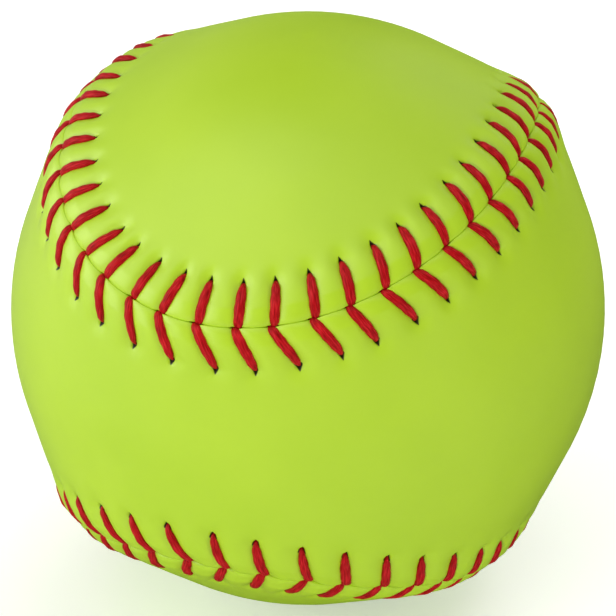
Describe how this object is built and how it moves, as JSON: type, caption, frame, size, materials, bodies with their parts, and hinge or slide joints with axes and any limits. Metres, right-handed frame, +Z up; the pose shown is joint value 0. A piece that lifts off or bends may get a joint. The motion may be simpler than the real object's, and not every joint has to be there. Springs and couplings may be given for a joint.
{
  "type": "softball",
  "caption": "Solid-core softball with a two-panel cover, a raised seam and herringbone stitching in contrasting waxed thread.",
  "frame": {"origin": "middle of the ball", "axes": "+Z up through the round end of the back panel, -Z through its other round end, on which the ball rests; +Y through the back panel's waist, -Y through the front panel's waist, and the front panel's round ends on -X and +X"},
  "size_m": [0.096, 0.0964, 0.096],
  "materials": {
    "cover": "smooth optic yellow-green synthetic leather, satin",
    "thread": "red waxed two-ply thread, slightly shiny",
    "seam_cord": "undyed cotton cord, matte",
    "cement": "dried cement, dull",
    "core": "moulded polyurethane foam, matte"
  },
  "bodies": {
    "root": {"core": "core", "cement_layer": "cement", "seam_cord_back": "seam_cord", "seam_cord_front": "seam_cord", "cover_panel_back": "cover", "cover_panel_front": "cover", "stitch_thread_1": "thread", "stitch_thread_2": "thread"}
  },
  "joints": []
}
